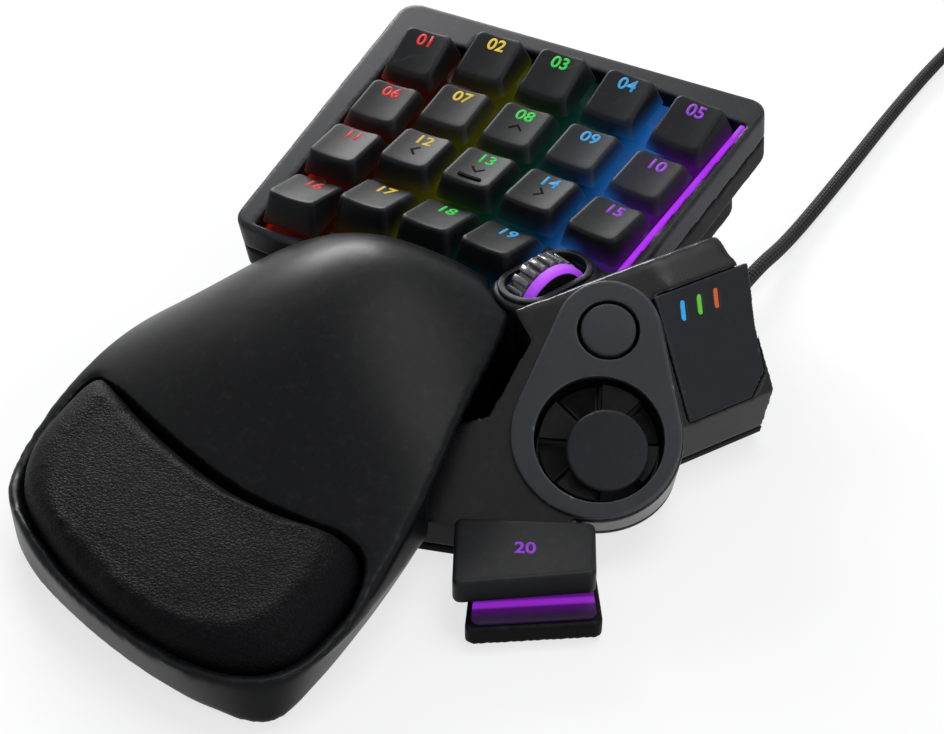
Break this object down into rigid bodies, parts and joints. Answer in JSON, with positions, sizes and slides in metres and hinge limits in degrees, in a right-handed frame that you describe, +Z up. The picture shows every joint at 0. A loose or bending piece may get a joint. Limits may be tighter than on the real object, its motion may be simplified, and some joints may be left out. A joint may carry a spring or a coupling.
{
  "type": "gaming keypad",
  "caption": "One-handed backlit gaming keypad with a tilted key deck, scroll wheel, thumb pad and key, padded sliding palm rest and a braided USB cable.",
  "frame": {"origin": "on the desk under the middle of the keypad, its cable left out", "axes": "+X towards the thumb side, +Y away from the user, +Z up"},
  "size_m": [0.175, 0.4266, 0.0548],
  "materials": {
    "keycap": "fine-grained matt keycap plastic",
    "body_shell": "fine-grained matt moulded shell",
    "frame_plastic": "satin moulded frame",
    "faceplate_plastic": "satin faceplate",
    "well_floor": "dark translucent floor lit from below",
    "well_light": "milky light guide, lit purple",
    "dome_rubber": "silicone rubber",
    "circuit_board": "green solder mask",
    "cushion_leatherette": "fine-grained soft leatherette",
    "rail_plastic": "smooth moulded plastic",
    "foot_rubber": "soft matt rubber",
    "light_blue": "lit blue",
    "light_green": "lit green",
    "light_orange": "lit orange",
    "thumb_pad_plastic": "satin moulded pad",
    "button_plastic": "satin button",
    "wheel_plastic": "matt hub",
    "wheel_rubber": "ribbed grey rubber",
    "wheel_light": "milky light ring, lit purple",
    "steel": "turned steel",
    "thumb_key_plastic": "fine-grained matt key",
    "base_light": "milky light guide, lit purple",
    "cable_rubber": "matt moulded rubber",
    "cable_braid": "black braided sleeve",
    "tie_rubber": "soft rubber band",
    "plug_metal": "nickel-plated steel"
  },
  "bodies": {
    "keypad": {"deck_housing": "body_shell", "thumb_housing": "body_shell", "bottom_plate": "body_shell", "thumb_key_base": "body_shell", "key_frame": "frame_plastic", "thumb_side_cover": "frame_plastic", "wheel_bezel": "frame_plastic", "thumb_faceplate": "faceplate_plastic", "key_guide_plate": "well_floor", "well_light_strip": "well_light", "dome_sheet": "dome_rubber", "key_circuit_board": "circuit_board", "main_board": "circuit_board", "thumb_board": "circuit_board", "rubber_feet": "foot_rubber", "indicator_light_blue": "light_blue", "indicator_light_green": "light_green", "indicator_light_orange": "light_orange", "screws": "steel", "thumb_key_light_bar": "base_light", "cable_strain_relief": "cable_rubber", "usb_plug_body": "cable_rubber", "usb_cable": "cable_braid", "cable_coil": "cable_braid", "cable_tail": "cable_braid", "cable_tie": "tie_rubber", "usb_plug_shell": "plug_metal"},
    "key_01": {"keycap_01": "keycap"},
    "key_02": {"keycap_02": "keycap"},
    "key_03": {"keycap_03": "keycap"},
    "key_04": {"keycap_04": "keycap"},
    "key_05": {"keycap_05": "keycap"},
    "key_06": {"keycap_06": "keycap"},
    "key_07": {"keycap_07": "keycap"},
    "key_08": {"keycap_08": "keycap"},
    "key_09": {"keycap_09": "keycap"},
    "key_10": {"keycap_10": "keycap"},
    "key_11": {"keycap_11": "keycap"},
    "key_12": {"keycap_12": "keycap"},
    "key_13": {"keycap_13": "keycap"},
    "key_14": {"keycap_14": "keycap"},
    "key_15": {"keycap_15": "keycap"},
    "key_16": {"keycap_16": "keycap"},
    "key_17": {"keycap_17": "keycap"},
    "key_18": {"keycap_18": "keycap"},
    "key_19": {"keycap_19": "keycap"},
    "palm_rest": {"palm_rest_shell": "body_shell", "wrist_cushion": "cushion_leatherette", "palm_slide_rails": "rail_plastic", "palm_feet": "foot_rubber"},
    "wheel_carriage": {"wheel_carriage": "rail_plastic"},
    "wheel": {"wheel_hub": "wheel_plastic", "wheel_tyre": "wheel_rubber", "wheel_light_ring": "wheel_light", "wheel_axle": "steel"},
    "thumb_button": {"thumb_button": "button_plastic"},
    "thumb_key": {"thumb_key": "thumb_key_plastic"},
    "thumb_pad_pivot": {"thumb_pad_pivot": "thumb_pad_plastic"},
    "thumb_pad": {"thumb_pad_dish": "thumb_pad_plastic", "thumb_pad_cap": "thumb_pad_plastic"}
  },
  "joints": [
    {"name": "key_01_press", "type": "slide", "parent": "keypad", "child": "key_01", "axis": [0, 0.2164, -0.9763], "range_m": [0, 0.0035], "stiffness_N_per_m": 120},
    {"name": "key_02_press", "type": "slide", "parent": "keypad", "child": "key_02", "axis": [0, 0.2164, -0.9763], "range_m": [0, 0.0035], "stiffness_N_per_m": 120},
    {"name": "key_03_press", "type": "slide", "parent": "keypad", "child": "key_03", "axis": [0, 0.2164, -0.9763], "range_m": [0, 0.0035], "stiffness_N_per_m": 120},
    {"name": "key_04_press", "type": "slide", "parent": "keypad", "child": "key_04", "axis": [0, 0.2164, -0.9763], "range_m": [0, 0.0035], "stiffness_N_per_m": 120},
    {"name": "key_05_press", "type": "slide", "parent": "keypad", "child": "key_05", "axis": [0, 0.2164, -0.9763], "range_m": [0, 0.0035], "stiffness_N_per_m": 120},
    {"name": "key_06_press", "type": "slide", "parent": "keypad", "child": "key_06", "axis": [0, 0.2164, -0.9763], "range_m": [0, 0.0035], "stiffness_N_per_m": 120},
    {"name": "key_07_press", "type": "slide", "parent": "keypad", "child": "key_07", "axis": [0, 0.2164, -0.9763], "range_m": [0, 0.0035], "stiffness_N_per_m": 120},
    {"name": "key_08_press", "type": "slide", "parent": "keypad", "child": "key_08", "axis": [0, 0.2164, -0.9763], "range_m": [0, 0.0035], "stiffness_N_per_m": 120},
    {"name": "key_09_press", "type": "slide", "parent": "keypad", "child": "key_09", "axis": [0, 0.2164, -0.9763], "range_m": [0, 0.0035], "stiffness_N_per_m": 120},
    {"name": "key_10_press", "type": "slide", "parent": "keypad", "child": "key_10", "axis": [0, 0.2164, -0.9763], "range_m": [0, 0.0035], "stiffness_N_per_m": 120},
    {"name": "key_11_press", "type": "slide", "parent": "keypad", "child": "key_11", "axis": [0, 0.2164, -0.9763], "range_m": [0, 0.0035], "stiffness_N_per_m": 120},
    {"name": "key_12_press", "type": "slide", "parent": "keypad", "child": "key_12", "axis": [0, 0.2164, -0.9763], "range_m": [0, 0.0035], "stiffness_N_per_m": 120},
    {"name": "key_13_press", "type": "slide", "parent": "keypad", "child": "key_13", "axis": [0, 0.2164, -0.9763], "range_m": [0, 0.0035], "stiffness_N_per_m": 120},
    {"name": "key_14_press", "type": "slide", "parent": "keypad", "child": "key_14", "axis": [0, 0.2164, -0.9763], "range_m": [0, 0.0035], "stiffness_N_per_m": 120},
    {"name": "key_15_press", "type": "slide", "parent": "keypad", "child": "key_15", "axis": [0, 0.2164, -0.9763], "range_m": [0, 0.0035], "stiffness_N_per_m": 120},
    {"name": "key_16_press", "type": "slide", "parent": "keypad", "child": "key_16", "axis": [0, 0.2164, -0.9763], "range_m": [0, 0.0035], "stiffness_N_per_m": 120},
    {"name": "key_17_press", "type": "slide", "parent": "keypad", "child": "key_17", "axis": [0, 0.2164, -0.9763], "range_m": [0, 0.0035], "stiffness_N_per_m": 120},
    {"name": "key_18_press", "type": "slide", "parent": "keypad", "child": "key_18", "axis": [0, 0.2164, -0.9763], "range_m": [0, 0.0035], "stiffness_N_per_m": 120},
    {"name": "key_19_press", "type": "slide", "parent": "keypad", "child": "key_19", "axis": [0, 0.2164, -0.9763], "range_m": [0, 0.0035], "stiffness_N_per_m": 120},
    {"name": "palm_rest_slide", "type": "slide", "parent": "keypad", "child": "palm_rest", "axis": [0, -1, 0], "range_m": [0, 0.0125]},
    {"name": "wheel_press", "type": "slide", "parent": "keypad", "child": "wheel_carriage", "axis": [0, 0, -1], "range_m": [0, 0.0008], "stiffness_N_per_m": 900},
    {"name": "wheel_turn", "type": "hinge", "parent": "wheel_carriage", "child": "wheel", "pos_m": [0.0178, 0.0225, 0.0306], "axis": [-0.9483, 0.3173, 0], "continuous": true},
    {"name": "thumb_button_press", "type": "slide", "parent": "keypad", "child": "thumb_button", "axis": [-0.2605, 0.4899, -0.832], "range_m": [0, 0.0012], "stiffness_N_per_m": 400},
    {"name": "thumb_key_press", "type": "slide", "parent": "keypad", "child": "thumb_key", "axis": [0, 0, -1], "range_m": [0, 0.002], "stiffness_N_per_m": 250},
    {"name": "thumb_pad_rock_up_down", "type": "hinge", "parent": "keypad", "child": "thumb_pad_pivot", "pos_m": [0.04545, -0.00219, 0.01518], "axis": [0.8829, 0.4695, 0], "range_deg": [-6, 6], "stiffness_Nm_per_rad": 0.12},
    {"name": "thumb_pad_rock_left_right", "type": "hinge", "parent": "thumb_pad_pivot", "child": "thumb_pad", "pos_m": [0.04545, -0.00219, 0.01518], "axis": [-0.3906, 0.7346, 0.5548], "range_deg": [-6, 6], "stiffness_Nm_per_rad": 0.12}
  ]
}
